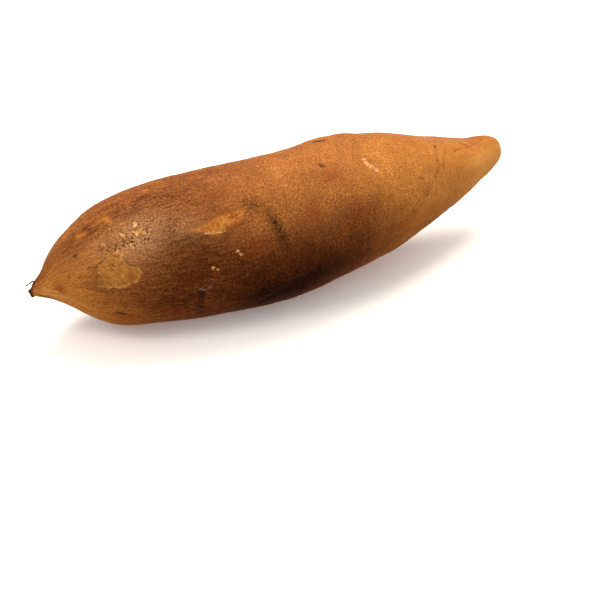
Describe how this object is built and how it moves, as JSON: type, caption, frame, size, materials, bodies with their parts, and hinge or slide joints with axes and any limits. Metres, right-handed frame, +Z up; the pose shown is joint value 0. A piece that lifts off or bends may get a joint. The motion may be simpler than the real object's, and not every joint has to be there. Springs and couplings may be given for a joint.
{
  "type": "yacon root",
  "caption": "Whole unpeeled yacon root lying on its side: a thick, slightly bent spindle with a pointed tail, a blunt crown end and scuffed brown skin.",
  "frame": {"origin": "middle of the root's own box in plan, on the surface it lies on", "axes": "+X along the root from the tail tip to the crown end, +Z up; the outer side of its bend faces -Y"},
  "size_m": [0.2222, 0.063, 0.0578],
  "materials": {
    "root_skin": "unpeeled corky root skin, orange-brown to dark brown, satin, with scuffs, scars and peeled chips of pale flesh"
  },
  "bodies": {
    "root": {"yacon_root": "root_skin"}
  },
  "joints": []
}
